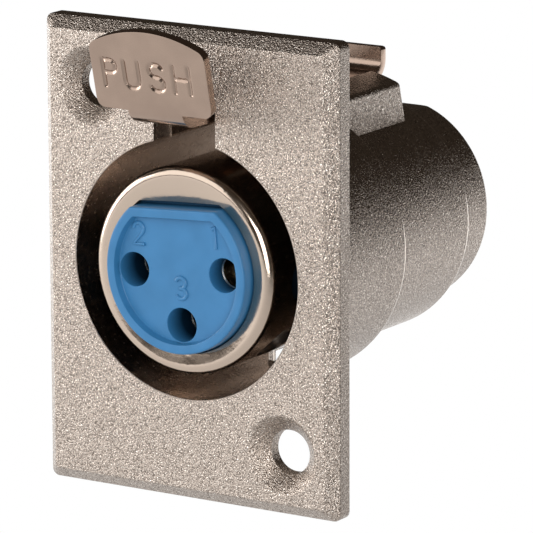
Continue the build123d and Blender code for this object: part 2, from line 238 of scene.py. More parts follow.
class SocketFinish(bpy.types.PropertyGroup):
    """Colours of the finishes and of the set"""

    casting: colour("Casting", "Nickel plate on the die casting", "#bdb0a5")
    # Painted shade: the darker colour that the casting takes in the pits of its bump.
    casting_painted_pit_shade: colour("Casting, darker", "Nickel plate in the grain's pits", "#776b62")
    # Painted highlight: the near-white that scattered grains and the lines on the shroud's steps
    # are mixed towards.
    casting_painted_highlight: colour("Casting, glint", "Grains and rubbed edges that glitter", "#fff6ec")
    drawn: colour("Barrel", "Nickel plate on the drawn barrel", "#cdbbab")
    sheet: colour("Latch", "Nickel plate on the bent sheet", "#b39d8e")
    sheet_dark: colour("Latch, darker", "Cloudy patches of that plate", "#a89385")
    nylon: colour("Insert", "Blue nylon of the inserts", "#306c99")
    nylon_dark: colour("Insert, darker", "Cloudy patches of that nylon", "#2c6691")
    contact: colour("Contacts", "Silver plate on the contacts", "#cfc8bc")
    steel: colour("Steel", "Plain steel of the pin, spring and screw", "#a9a7a4")
    steel_dark: colour("Steel, darker", "Cloudy patches of that steel", "#8f8c88")
    floor: colour("Floor", "Pale floor", "#ececec")
    tent: colour("Tent", "Dark cloth over the set", "#3a332c")


class SocketStage(bpy.types.PropertyGroup):
    """Place and lens of the camera"""

    azimuth: angle("Azimuth", "How far the camera stands to the right of the front", 33.035)
    elevation: angle("Elevation", "How far the camera looks down", 12.547)
    roll: angle("Roll", "How far the camera is rolled", -0.297)
    distance: length("Distance", "From the camera to the socket", 370.76)
    target_depth: length("Target depth", "Depth of the point that the camera faces", 8.0)
    focal: pixels("Focal length", "Focal length in pixels of the photograph", 4892.73)
    shift_across: pixels("Shift across", "How far the axis stands left of the middle", 22.76)
    shift_up: pixels("Shift up", "How far the axis stands above the middle", 16.07)


# Modelling steps


def at(depth):
    """The Y of a depth behind the flange's front face."""
    return FRONT + depth


def activate(piece):
    """Makes a piece the only one selected."""
    bpy.ops.object.select_all(action="DESELECT")
    piece.select_set(True)
    bpy.context.view_layer.objects.active = piece


@contextmanager
def edit_mode(piece):
    """Edit mode for one piece, with all of it selected."""
    activate(piece)
    bpy.ops.object.mode_set(mode="EDIT")
    bpy.ops.mesh.select_all(action="SELECT")
    yield
    bpy.ops.object.mode_set(mode="OBJECT")


def add_shape(name, kind, **settings):
    """One of Blender's own shapes, with its place moved into its mesh."""
    bpy.ops.object.select_all(action="DESELECT")
    getattr(bpy.ops.mesh, f"primitive_{kind}_add")(**settings)
    bpy.ops.object.transform_apply(location=True, rotation=True, scale=True)
    piece = bpy.context.object
    piece.name = name
    piece.data.name = name
    return piece


def add_cylinder(name, radius, start, end):
    """A closed cylinder round the socket axis between two depths."""
    return add_shape(
        name,
        "cylinder",
        vertices=ROUND,
        radius=radius,
        depth=end - start,
        location=(0.0, at((start + end) / 2), 0.0),
        rotation=(radians(90), 0, 0),
    )


def add_rod(name, radius, middle, heading, extent):
    """A closed cylinder with its middle at a point, along any direction."""
    turn = Vector(heading).to_track_quat("Z", "Y").to_euler()
    size = {"vertices": ROUND // 2, "radius": radius, "depth": extent}
    return add_shape(name, "cylinder", location=middle, rotation=turn, **size)


def add_block(name, low, high):
    """A box from its lowest to its highest corner."""
    middle = (Vector(low) + Vector(high)) / 2
    return add_shape(name, "cube", size=1, location=middle, scale=Vector(high) - Vector(low))


def lay_out(name, points, filled):
    """A closed ring of points, as a wire or as one face."""
    fill = "NGON" if filled else "NOTHING"
    ring = add_shape(name, "circle", vertices=len(points), fill_type=fill)
    for vertex, point in zip(ring.data.vertices, points):
        vertex.co = point
    return ring


def add_grid(name, rows):
    """A grid of faces over rows of equally many points."""
    width = len(rows[0])
    grid = add_shape(
        name, "grid", x_subdivisions=width - 1, y_subdivisions=len(rows) - 1, size=1
    )
    for index, vertex in enumerate(grid.data.vertices):
        vertex.co = rows[index // width][index % width]
    return grid


def face_outwards(piece, distance=WELD):
    """Welds points that lie together and turns every face outwards."""
    with edit_mode(piece):
        bpy.ops.mesh.remove_doubles(threshold=distance)
        bpy.ops.mesh.normals_make_consistent(inside=False)
    return piece


def select_edges(piece, chosen):
    """Selects, in edit mode, only the edges whose two ends pass a test."""
    bpy.ops.mesh.select_mode(type="EDGE")
    bpy.ops.mesh.select_all(action="DESELECT")
    mesh = bmesh.from_edit_mesh(piece.data)
    found = [edge for edge in mesh.edges if chosen(edge.verts[0].co, edge.verts[1].co)]
    if not found:
        raise RuntimeError(f"{piece.name} has no such edge")
    for edge in found:
        edge.select_set(True)
    bmesh.update_edit_mesh(piece.data)


def add_prism(name, points, sweep):
    """A filled outline, extruded along a vector."""
    prism = lay_out(name, points, filled=True)
    with edit_mode(prism):
        bpy.ops.mesh.extrude_region_move(TRANSFORM_OT_translate={"value": sweep})
    return face_outwards(prism)


def add_side_prism(name, outline, half):
    """An outline of (depth, height) points made solid to both sides of the plane of symmetry."""
    points = [(-half, at(depth), height) for depth, height in outline]
    return add_prism(name, points, (2 * half, 0, 0))


def add_turned(name, profile, x=0.0, z=0.0, steps=ROUND, tube=False):
    """A run of (radius, depth) points, spun round an axis along Y into a closed solid.

    The run goes from axis to axis. That of a tube is a ring that stays off the axis.
    """
    points = [(x + radius, at(depth), z) for radius, depth in profile]
    piece = lay_out(name, points, filled=False)
    with edit_mode(piece):
        if not tube:
            select_edges(piece, lambda a, b: max(abs(a.x - x), abs(b.x - x)) < WELD)
            bpy.ops.mesh.delete(type="EDGE")
            bpy.ops.mesh.select_all(action="SELECT")
        bpy.ops.mesh.spin(steps=steps, angle=2 * pi, center=(x, 0, z), axis=(0, 1, 0))
    return face_outwards(piece)


def add_skin(name, rings):
    """A solid between closed rings of equally many points, flat at both ends."""
    skin = add_grid(name, [ring + ring[:1] for ring in rings])
    with edit_mode(skin):
        bpy.ops.mesh.remove_doubles(threshold=WELD)
        bpy.ops.mesh.select_mode(type="EDGE")
        bpy.ops.mesh.select_all(action="DESELECT")
        bpy.ops.mesh.select_non_manifold(extend=False)
        bpy.ops.mesh.fill_holes(sides=0)
    return face_outwards(skin)


def add_wire(name, strokes, radius, roundness):
    """Round wire with closed ends along one or more runs of points, as a mesh."""
    curve = bpy.data.curves.new(name, "CURVE")
    curve.dimensions = "3D"
    curve.bevel_depth = radius
    curve.bevel_resolution = roundness
    curve.use_fill_caps = True
    for stroke in strokes:
        spline = curve.splines.new("POLY")
        spline.points.add(len(stroke) - 1)
        for point, place in zip(spline.points, stroke):
            point.co = (*place, 1.0)
    wire = bpy.data.objects.new(name, curve)
    bpy.context.scene.collection.objects.link(wire)
    activate(wire)
    bpy.ops.object.convert(target="MESH")
    return bpy.context.object


def combine(piece, tool, operation):
    """Applies a boolean with another solid, which it uses up."""
    modifier = piece.modifiers.new(operation, "BOOLEAN")
    modifier.operation = operation
    modifier.solver = "EXACT"
    modifier.object = tool
    activate(piece)
    bpy.ops.object.modifier_apply(modifier=modifier.name)
    bpy.data.objects.remove(tool, do_unlink=True)
    if not piece.data.polygons:
        raise RuntimeError(f"nothing is left of {piece.name} after a cut")
    return piece


def cut(piece, tools):
    """Takes solids out of a piece, each made when the one before it is used up."""
    for tool in tools:
        combine(piece, tool, "DIFFERENCE")
    return piece


def bevel_edges(piece, width, segments, chosen):
    """Bevels the edges whose two ends pass a test."""
    with edit_mode(piece):
        select_edges(piece, chosen)
        bpy.ops.mesh.bevel(offset=width, segments=segments, affect="EDGES", profile=0.5)
    return piece


def round_edges(piece, width, segments, limit):
    """Rounds every edge sharper than an angle in degrees."""
    rounding = piece.modifiers.new("Rounding", "BEVEL")
    rounding.width = width
    rounding.segments = segments
    rounding.limit_method = "ANGLE"
    rounding.angle_limit = radians(limit)
    activate(piece)
    bpy.ops.object.modifier_apply(modifier=rounding.name)


def turn_about_axis(piece, turn):
    """Turns a mesh about the socket axis, counter-clockwise as seen from the front."""
    piece.data.transform(Matrix.Rotation(-turn, 4, "Y"))


def dress(piece, finish, body, slot, *nodes, smooth=30.0):
    """Gives a finished piece its finish, its shading, its body and the nodes that it replaces."""
    piece.data.materials.clear()
    piece.data.materials.append(bpy.data.materials[finish])
    activate(piece)
    bpy.ops.object.shade_smooth_by_angle(angle=radians(smooth))
    shading = piece.modifiers.new("Shading", "WEIGHTED_NORMAL")
    shading.keep_sharp = True
    bpy.ops.object.modifier_apply(modifier=shading.name)
    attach(piece, body)
    if nodes:
        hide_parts(*nodes)
    return piece


def arc(middle, radius, start, end, count):
    """Points of an arc, from one angle in degrees to another."""
    step = radians(end - start) / count
    angles = [radians(start) + step * i for i in range(count + 1)]
    return [(middle[0] + radius * cos(a), middle[1] + radius * sin(a)) for a in angles]


def round_path(points, radius, count):
    """An open path whose inner corners are rounded."""
    path = [points[0]]
    for before, corner, after in zip(points, points[1:], points[2:]):
        corner = Vector(corner)
        into = (Vector(before) - corner).normalized()
        out = (Vector(after) - corner).normalized()
        half = acos(max(-1.0, min(1.0, into.dot(out)))) / 2
        middle = corner + (into + out).normalized() * radius / sin(half)
        first = corner + into * radius / tan(half) - middle
        last = corner + out * radius / tan(half) - middle
        sweep = first.angle_signed(last)
        for i in range(count + 1):
            spot = first.copy()
            spot.rotate(Matrix.Rotation(-sweep * i / count, 2))
            path.append(tuple(middle + spot))
    return path + [points[-1]]


# Materials


def set_inputs(tree, node, inputs):
    """Sets a node's inputs, each to a value or to another node's output."""
    for socket, value in inputs.items():
        if isinstance(value, bpy.types.NodeSocket):
            tree.links.new(value, node.inputs[socket])
        else:
            node.inputs[socket].default_value = value


def add_node(tree, kind, inputs=None, **settings):
    """Adds a shader node with its settings and inputs."""
    node = tree.nodes.new("ShaderNode" + kind)
    for name, value in settings.items():
        setattr(node, name, value)
    set_inputs(tree, node, inputs or {})
    return node


def empty_tree(owner):
    """The node tree of a new material or world, with nothing in it."""
    owner.use_nodes = True
    owner.node_tree.nodes.clear()
    return owner.node_tree


def new_material(name):
    """A new material's node tree and its surface shader."""
    tree = empty_tree(bpy.data.materials.new(name))
    shader = add_node(tree, "BsdfPrincipled")
    add_node(tree, "OutputMaterial", {"Surface": shader.outputs["BSDF"]})
    return tree, shader


def reckon(tree, operation, *values):
    """The result of a sum on values or outputs of other nodes."""
    return add_node(tree, "Math", dict(enumerate(values)), operation=operation).outputs[0]


def fade(tree, value, start, end, first=0.0, last=1.0):
    """Runs from a first to a last result while a value goes from its start to its end."""
    inputs = {"Value": value, "From Min": start, "From Max": end, "To Min": first, "To Max": last}
    return add_node(tree, "MapRange", inputs).outputs["Result"]


def position(tree):
    """The shaded point in the object's own coordinates."""
    return add_node(tree, "TexCoord").outputs["Object"]


def axes(tree):
    """The X, Y and Z of the shaded point."""
    return add_node(tree, "SeparateXYZ", {0: position(tree)}).outputs


def grain(tree, spacing, detail=2.0, roughness=0.5):
    """A noise with grains of a real size."""
    inputs = {"Scale": 1 / spacing, "Detail": detail, "Roughness": roughness}
    return add_node(tree, "TexNoise", {"Vector": position(tree), **inputs}).outputs["Fac"]


NOISE_LOW, NOISE_MIDDLE, NOISE_HIGH = 0.3, 0.5, 0.7  # a noise hardly ever leaves this range


def patches(tree, spacing, low, high):
    """A value that drifts between two limits, in patches of a real size."""
    return fade(tree, grain(tree, spacing), NOISE_LOW, NOISE_HIGH, low, high)


def two_tone(tree, factor, first, second, low=NOISE_LOW, high=NOISE_HIGH):
    """A colour that runs from one tone to another between two values of a factor."""
    ramp = add_node(tree, "ValToRGB", {"Fac": factor})
    for stop, place, tone in zip(ramp.color_ramp.elements, (low, high), (first, second)):
        stop.position = place
        stop.color = tone
    return ramp.outputs["Color"]


def raised(tree, height, distance):
    """A bump of a real height."""
    inputs = {"Height": height, "Distance": distance, "Strength": 1.0}
    return add_node(tree, "Bump", inputs).outputs["Normal"]


MASK_SKIN = 0.1 * MM  # how far a mask reaches past the surface that it marks
PAINTED_LINE_PLACE = 0.28 * MM  # from a step's end forwards to the middle of its line of painted highlight
PAINTED_LINE_HALF = 0.09 * MM
PAINTED_LINE_SHINE = 0.45
SHROUD_SKIN = 0.02 * MM  # a mask of the shroud reaches past its first step by this
RING_SPACING = 3.0 * MM  # of the lathe's rings on the contacts
NYLON_SHEEN = 0.5


def bore_and_painted_lines(tree):
    """Masks of the casting without grain: its entry bore, and lines of painted highlight on two
    steps.
    """
    sizes = bpy.context.scene.socket_casting
    place = axes(tree)
    across = add_node(tree, "CombineXYZ", {"X": place["X"], "Z": place["Z"]}).outputs[0]
    radius = add_node(tree, "VectorMath", {0: across}, operation="LENGTH").outputs["Value"]
    within = reckon(tree, "LESS_THAN", radius, sizes.entry_radius + MASK_SKIN)
    ahead = reckon(tree, "LESS_THAN", place["Y"], at(sizes.entry_depth + MASK_SKIN))
    # Lines of painted highlight along the rounded edges of the first two steps, on the shroud only.
    lines = [
        reckon(tree, "COMPARE", place["Y"], at(end - PAINTED_LINE_PLACE), PAINTED_LINE_HALF)
        for end in (sizes.front_end, sizes.middle_end)
    ]
    shroud = reckon(tree, "LESS_THAN", radius, sizes.front_radius + SHROUD_SKIN)
    painted_step_lines = reckon(tree, "MULTIPLY", reckon(tree, "MAXIMUM", *lines), shroud)
    return reckon(tree, "MULTIPLY", within, ahead), painted_step_lines


def cast_nickel(finish):
    """Nickel plate over a sand-blasted die casting: pebbled, with painted shade in the grain's
    pits, painted glints on scattered grains and lines of painted highlight on two steps.
    """
    tree, shader = new_material("cast_nickel_plate")
    bored, painted_step_lines = bore_and_painted_lines(tree)
    grainy = reckon(tree, "SUBTRACT", 1.0, reckon(tree, "MAXIMUM", bored, painted_step_lines))
    pebbles = grain(tree, spacing=0.13 * MM, roughness=0.6)
    pebbles = reckon(tree, "SUBTRACT", pebbles, NOISE_MIDDLE)
    pebbles = reckon(tree, "MULTIPLY", pebbles, grainy)
    # Painted shade in the pits: where the bump is low, the colour runs towards the darker tone.
    level = reckon(tree, "ADD", pebbles, NOISE_MIDDLE)
    tone = two_tone(tree, level, finish.casting_painted_pit_shade, finish.casting, low=0.36, high=0.5)
    # Painted glints: scattered grains mixed towards the near-white, except in the bore and on the
    # lines.
    painted_glints = fade(tree, grain(tree, spacing=0.11 * MM), start=0.6, end=0.66)
    painted_glints = reckon(tree, "MULTIPLY", painted_glints, grainy)
    # Painted highlight: the lines on the steps are mixed part way towards the near-white.
    painted_glints = reckon(tree, "MAXIMUM", painted_glints, reckon(tree, "MULTIPLY", painted_step_lines, PAINTED_LINE_SHINE))
    mix = {"Fac": painted_glints, "Color1": tone, "Color2": finish.casting_painted_highlight}
    surface = {
        "Base Color": add_node(tree, "MixRGB", mix).outputs[0],
        "Metallic": 1.0,
        "Roughness": patches(tree, spacing=0.4 * MM, low=0.16, high=0.28),
        "Normal": raised(tree, pebbles, distance=0.1 * MM),
    }
    set_inputs(tree, shader, surface)


def drawn_nickel(finish):
    """Nickel plate over a drawn and tumbled sleeve: satin, with a fine orange peel."""
    tree, shader = new_material("drawn_nickel_plate")
    surface = {
        "Base Color": finish.drawn,
        "Metallic": 1.0,
        "Roughness": patches(tree, spacing=1.5 * MM, low=0.12, high=0.2),
        "Normal": raised(tree, grain(tree, spacing=0.45 * MM), distance=0.008 * MM),
    }
    set_inputs(tree, shader, surface)


def sheet_nickel(finish):
    """Nickel plate over rolled sheet: satin, with faint cloudiness and orange peel."""
    tree, shader = new_material("rolled_nickel_plate")
    cloud = grain(tree, spacing=2.5 * MM)
    peel = grain(tree, spacing=0.35 * MM, detail=3.0, roughness=0.6)
    surface = {
        "Base Color": two_tone(tree, cloud, finish.sheet_dark, finish.sheet),
        "Metallic": 1.0,
        "Roughness": patches(tree, spacing=1.2 * MM, low=0.16, high=0.26),
        "Normal": raised(tree, peel, distance=0.004 * MM),
    }
    set_inputs(tree, shader, surface)


def blue_nylon(finish):
    """Moulded nylon: blue with a soft sheen, both darkened with depth behind the face by painted
    shade in the pin holes.
    """
    tree, shader = new_material("moulded_blue_nylon")
    tone = two_tone(tree, grain(tree, spacing=1.8 * MM), finish.nylon_dark, finish.nylon)
    depth = axes(tree)["Y"]
    # Painted shade: colour and sheen fall to a tenth between 0.8 mm before and 1.2 mm behind the
    # flange's front, and come back between 16 and 20 mm deep.
    painted_front_light = fade(tree, depth, at(-0.8 * MM), at(1.2 * MM), first=1.0, last=0.1)
    painted_rear_light = fade(tree, depth, at(16 * MM), at(20 * MM))
    light = reckon(tree, "MAXIMUM", painted_front_light, painted_rear_light)
    scaled = add_node(tree, "VectorMath", {0: tone, "Scale": light}, operation="SCALE")
    surface = {
        "Base Color": scaled.outputs[0],
        "IOR": 1.46,
        "Specular IOR Level": reckon(tree, "MULTIPLY", light, NYLON_SHEEN),
        "Roughness": patches(tree, spacing=0.9 * MM, low=0.36, high=0.46),
        "Normal": raised(tree, grain(tree, spacing=0.16 * MM), distance=0.004 * MM),
    }
    set_inputs(tree, shader, surface)


def silver_plate(finish):
    """Silver plate on turned brass: bright, with the lathe's fine rings."""
    tree, shader = new_material("turned_silver_plate")
    inputs = {"Vector": position(tree), "Scale": 1 / RING_SPACING, "Distortion": 1.0}
    rings = add_node(tree, "TexWave", inputs, wave_type="BANDS", bands_direction="Y")
    surface = {
        "Base Color": finish.contact,
        "Metallic": 1.0,
        "Roughness": patches(tree, spacing=0.5 * MM, low=0.16, high=0.28),
        "Normal": raised(tree, rings.outputs["Fac"], distance=0.004 * MM),
    }
    set_inputs(tree, shader, surface)


def plain_steel(finish):
    """Bright steel wire and turned pins: a slightly cloudy grey."""
    tree, shader = new_material("bright_steel")
    cloud = grain(tree, spacing=0.8 * MM)
    surface = {
        "Base Color": two_tone(tree, cloud, finish.steel_dark, finish.steel),
        "Metallic": 1.0,
        "Roughness": patches(tree, spacing=0.4 * MM, low=0.25, high=0.4),
    }
    set_inputs(tree, shader, surface)


MAKERS = (cast_nickel, drawn_nickel, sheet_nickel, blue_nylon, silver_plate, plain_steel)


class SOCKET_OT_finishes(bpy.types.Operator):
    """Makes the finishes and gives them to the solids that stay as they are"""

    bl_idname = "socket.finishes"
    bl_label = "Finishes"

    def execute(self, context):
        for make in MAKERS:
            make(context.scene.socket_finish)
        kept = {
            "rear_insert": "moulded_blue_nylon",
            "latch_pin": "bright_steel",
            "insert_screw": "bright_steel",
        }
        for name, material in kept.items():
            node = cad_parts[name]
            node.data.materials.clear()
            node.data.materials.append(bpy.data.materials[material])
        return {"FINISHED"}


# Housing

ROOT_DEPTH = 1 * MM  # inside the flange, where the shroud and the cheeks begin
ROOT_HEIGHT = 5 * MM  # inside the shroud, where the cheeks and the groove begin
FLANGE_BACK = 2.3 * MM
GROOVE_START = 1.2 * MM
CHEEK_FOOT = 7.96 * MM  # height of the cheeks' foot
CHEEK_SIDE_FOOT, CHEEK_REAR_FOOT = 9 * MM, 10.5 * MM  # above these the crown's edges are bevelled
BEHIND_FLANGE, BEHIND_ALL = 4 * MM, 40 * MM
SLOT_BOTTOM = 4 * MM
DRAIN_BOTTOM, DRAIN_TOP = -12 * MM, -5 * MM
FLAT_TOP = 12 * MM
PIN_MIDDLE, PIN_LENGTH = -0.45 * MM, 9.16 * MM
GRUB_MIDDLE, GRUB_LENGTH = 8 * MM, 6 * MM


def rounded_mouth(mouth, face, edge):
    """The (radius, depth) points of a hole's mouth that is rounded from its face inwards."""
    turns = (0, pi / 6, pi / 3, pi / 2)
    return [(mouth - edge * sin(turn), face + edge - edge * cos(turn)) for turn in turns]


def bore_cutter(sizes):
    """The stepped bore, with a small rounding where it meets the flange's front."""
    mouth = sizes.entry_radius + sizes.edge
    profile = [
        (0, -CLEAR),
        (mouth, -CLEAR),
        *rounded_mouth(mouth, 0, sizes.edge),
        (sizes.entry_radius, sizes.entry_depth),
        (sizes.seat_radius, sizes.entry_depth),
        (sizes.seat_radius, sizes.seat_end),
        (sizes.rear_bore, sizes.seat_end),
        (sizes.rear_bore, BEHIND_ALL),
        (0, BEHIND_ALL),
    ]
    return add_turned("bore_cutter", profile)


def countersink_cutter(sizes, side):
    """One of the two screw holes with its countersink and a soft rim."""
    sink = sizes.sink_radius - sizes.screw_radius
    soft = 2 * sizes.edge
    profile = [
        (0, -CLEAR),
        (sizes.sink_radius + soft, -CLEAR),
        (sizes.sink_radius + soft, 0),
        (sizes.sink_radius + soft / 3, soft / 5),
        (sizes.sink_radius - soft / 2, soft / 2 + soft / 5),
        (sizes.screw_radius + soft / 2, sink - soft / 3),
        (sizes.screw_radius, sink + soft / 3),
        (sizes.screw_radius, BEHIND_FLANGE),
        (0, BEHIND_FLANGE),
    ]
    x, z = side * sizes.screw_x, -side * sizes.screw_z
    return add_turned("screw_cutter", profile, x, z, ROUND // 2)


def flange_ring(sizes, inset, depth):
    """The flange's outline with rounded corners, drawn in by a distance, at a depth."""
    corner = sizes.corner + (sizes.front_corner - sizes.corner) * inset / sizes.bevel
    right = CASTING_HIGH.x - inset - corner
    top, bottom = CASTING_HIGH.z - inset - corner, CASTING_LOW.z + inset + corner
    ring = []
    for turn, middle in enumerate(((right, top), (-right, top), (-right, bottom), (right, bottom))):
        ring += arc(middle, corner, 90 * turn, 90 * turn + 90, count=8)
    return [(x, at(depth), z) for x, z in ring]


def casting_flange(sizes):
    """The flange with rounded corners, a bevelled front and eased edges."""
    bevel, edge, back = sizes.bevel, sizes.edge, -FRONT
    reach = sizes.flange_edge * tan(radians(22.5))
    lean = reach / sqrt(2)
    edge_ease, bevel_ease = 0.3 * edge, 0.27 * lean
    steps = [
        (edge, back),
        (edge_ease, back - edge_ease),
        (0, back - edge),
        (0, bevel + reach),
        (bevel_ease, bevel + bevel_ease),
        (lean, bevel - lean),
        (bevel - lean, lean),
        (bevel + bevel_ease, bevel_ease),
        (bevel + reach, 0),
    ]
    return add_skin("housing_look", [flange_ring(sizes, inset, depth) for inset, depth in steps])


def casting_shroud(sizes):
    """The stepped body as one turned solid, with every step's edge rounded."""
    edge = sizes.shroud_edge
    rear = CASTING_HIGH.y - FRONT
    profile = [(0, ROOT_DEPTH), (sizes.front_radius, ROOT_DEPTH)]
    for radius, end in (
        (sizes.front_radius, sizes.front_end),
        (sizes.middle_radius, sizes.middle_end),
        (sizes.sleeve_radius, rear),
    ):
        if radius < profile[-1][0]:
            profile.append((radius, profile[-1][1]))
        profile += arc((radius - edge, end - edge), edge, 0, 90, count=4)
    profile.append((0, rear))
    return add_turned("shroud", profile)


def casting_cheeks(sizes):
    """The block on top of the shroud that the latch swings in, its top round about the axis."""
    outline = [
        (ROOT_DEPTH, ROOT_HEIGHT),
        (ROOT_DEPTH, sizes.crown),
        (sizes.cheek_top_end, sizes.crown),
        (sizes.cheek_foot_end, CHEEK_FOOT),
        (sizes.cheek_foot_end, ROOT_HEIGHT),
    ]
    cheeks = add_side_prism("cheeks", outline, sizes.cheek_half)
    crown = add_cylinder("crown_cutter", sizes.crown, 0, sizes.cheek_foot_end + CLEAR)
    combine(cheeks, crown, "INTERSECT")
    outer, rear = sizes.cheek_half - WELD, at(sizes.cheek_top_end) - WELD

    def exposed(a, b):
        beside = min(abs(a.x), abs(b.x)) > outer and max(a.z, b.z) > CHEEK_SIDE_FOOT
        behind = min(a.y, b.y) > rear and min(a.z, b.z) > CHEEK_REAR_FOOT
        return beside and a.x * b.x > 0 or behind

    return bevel_edges(cheeks, sizes.crown_edge, segments=4, chosen=exposed)


def groove_cutter(sizes):
    """The groove between the cheeks, with its shelves and pockets."""
    top = sizes.crown + 2 * CLEAR
    rear = sizes.cheek_foot_end + 2 * CLEAR
    outline = [
        (GROOVE_START, ROOT_HEIGHT),
        (sizes.entry_depth, ROOT_HEIGHT),
        (sizes.entry_depth, sizes.shelf),
        (sizes.shelf_end, sizes.shelf),
        (sizes.shelf_end, sizes.ear_floor),
        (sizes.ear_end, sizes.ear_floor),
        (sizes.ear_end, sizes.tail_shelf),
        (rear, sizes.tail_shelf),
        (rear, top),
        (FLANGE_BACK, top),
        (FLANGE_BACK, sizes.slot_top),
        (GROOVE_START, sizes.slot_top),
    ]
    return add_side_prism("groove_cutter", outline, sizes.groove_half)


def casting_cutters(sizes):
    """Everything that is cut out of the casting, in turn."""
    yield groove_cutter(sizes)
    low = (-sizes.slot_half, at(-CLEAR), SLOT_BOTTOM)
    yield add_block("slot_cutter", low, (sizes.slot_half, 0.0, sizes.slot_top))
    yield bore_cutter(sizes)
    low = (-sizes.drain_half, at(sizes.entry_depth), DRAIN_BOTTOM)
    yield add_block("drain_cutter", low, (sizes.drain_half, at(sizes.drain_end), DRAIN_TOP))
    yield countersink_cutter(sizes, -1)
    yield countersink_cutter(sizes, 1)
    low = (-WIDE, at(sizes.middle_end), sizes.flat_height)
    yield add_block("flat_cutter", low, (WIDE, CASTING_HIGH.y + CLEAR, FLAT_TOP))
    middle = (PIN_MIDDLE, at(sizes.pin_depth), sizes.pin_height)
    yield add_rod("pin_cutter", sizes.pin_radius, middle, (1, 0, 0), PIN_LENGTH)
    middle = (0, at(sizes.grub_depth), GRUB_MIDDLE)
    yield add_rod("grub_cutter", sizes.grub_radius, middle, (0, 0, 1), GRUB_LENGTH)


class SOCKET_OT_housing(bpy.types.Operator):
    """Models the die-cast housing with its flange, shroud and latch cheeks"""

    bl_idname = "socket.housing"
    bl_label = "Housing"

    def execute(self, context):
        sizes = context.scene.socket_casting
        housing = casting_flange(sizes)
        combine(housing, casting_shroud(sizes), "UNION")
        combine(housing, casting_cheeks(sizes), "UNION")
        cut(housing, casting_cutters(sizes))
        dress(housing, "cast_nickel_plate", "shell", "cast_nickel", "housing")
        return {"FINISHED"}


# Barrel

WINDOW_HEADINGS = (-7, -50, -130, -173)  # degrees, from +X towards +Z
WINDOW_REACH = 4 * MM  # length of a window's cutter
LIP_STEPS = 12
LIP_DISH = 12  # the dish bulges from a straight cone by one part in this many of its fall


def lip(sizes):
    """The rolled lip: round outside, and dished from its crest to the web."""
    roll = sizes.radius - sizes.crest
    points = arc((sizes.crest, sizes.front + roll), roll, 0, -90, LIP_STEPS)
    fall, run = sizes.web_depth - sizes.front, sizes.crest - sizes.web_radius
    for step in range(1, LIP_STEPS + 1):
        share = step / LIP_STEPS
        depth = sizes.front + fall * (share - sin(pi * share) / LIP_DISH)
        points.append((sizes.crest - run * share, depth))
    return points


def opening_cutter(sizes):
    """The D-shaped opening for the nose."""
    opening = add_cylinder("opening_cutter", sizes.opening, sizes.front - CLEAR, sizes.end)
    low = (-WIDE, at(sizes.front - 2 * CLEAR), sizes.opening_flat)
    above = add_block("opening_flat", low, (WIDE, at(sizes.end + CLEAR), WIDE))
    return combine(opening, above, "DIFFERENCE")


def barrel_cutters(sizes):
    """The opening and the round windows, in turn."""
    yield opening_cutter(sizes)
    for heading in WINDOW_HEADINGS:
        outwards = Vector((cos(radians(heading)), 0, sin(radians(heading))))
        middle = outwards * sizes.radius + Vector((0, at(sizes.window_depth), 0))
        yield add_rod("window_cutter", sizes.window_radius, middle, outwards, WINDOW_REACH)


class SOCKET_OT_barrel(bpy.types.Operator):
    """Models the drawn barrel with its rolled lip and windows"""

    bl_idname = "socket.barrel"
    bl_label = "Barrel"

    def execute(self, context):
        sizes = context.scene.socket_barrel
        inner = sizes.radius - sizes.wall
        web_end = sizes.web_depth + sizes.wall
        profile = [
            (sizes.radius, sizes.end),
            *lip(sizes),
            (sizes.opening_flat - CLEAR, sizes.web_depth),
            (sizes.opening_flat - CLEAR, web_end),
            (inner, web_end),
            (inner, sizes.end),
        ]
        barrel = cut(add_turned("barrel_look", profile, tube=True), barrel_cutters(sizes))
        turn_about_axis(barrel, context.scene.socket_insert.turn)
        dress(barrel, "drawn_nickel_plate", "shell", "drawn_nickel", "barrel")
        return {"FINISHED"}


# Inserts, pole numbers and contacts

# Number, heading in degrees and depth of each contact.
POLES = ((1, 0.0, 0.9 * MM), (2, 180.0, 2.4 * MM), (3, 270.0, 2.4 * MM))
CONTACT_CLEARANCE = 0.06 * MM
CONTACT_EDGE = 0.08 * MM
CONTACT_STEPS = 48
CONTACT_WIDE = 3 * MM  # past the side of a contact
# Left side and middle height of each digit, and left side of each letter, in millimetres.
DIGIT_PLACES = {"1": (3.17, 2.78), "2": (-3.9, 2.78), "3": (-0.33, -1.2)}
LETTER_LEFTS = {"P": -4.05, "U": -2.2, "S": -0.02, "H": 2.12}
DIGIT_SINK = 0.02 * MM  # from the insert's face back to the middle of a stroke


def pole_place(sizes, heading):
    """The X and Z of a pole before the insert is turned."""
    return sizes.pole_radius * cos(radians(heading)), sizes.pole_radius * sin(radians(heading))


def pin_hole_cutter(sizes, heading, contact_front):
    """A pin hole with a rounded mouth, wider behind the contact's front."""
    face = sizes.front + sizes.recess
    mouth = sizes.hole_radius + sizes.hole_edge
    wider = sizes.contact_radius + CONTACT_CLEARANCE
    profile = [
        (0, face - 2 * CLEAR),
        (mouth, face - 2 * CLEAR),
        *rounded_mouth(mouth, face, sizes.hole_edge),
        (sizes.hole_radius, contact_front - CONTACT_CLEARANCE),
        (wider, contact_front - CONTACT_CLEARANCE),
        (wider, sizes.end + CLEAR),
        (0, sizes.end + CLEAR),
    ]
    return add_turned("pin_hole_cutter", profile, *pole_place(sizes, heading), ROUND // 2)


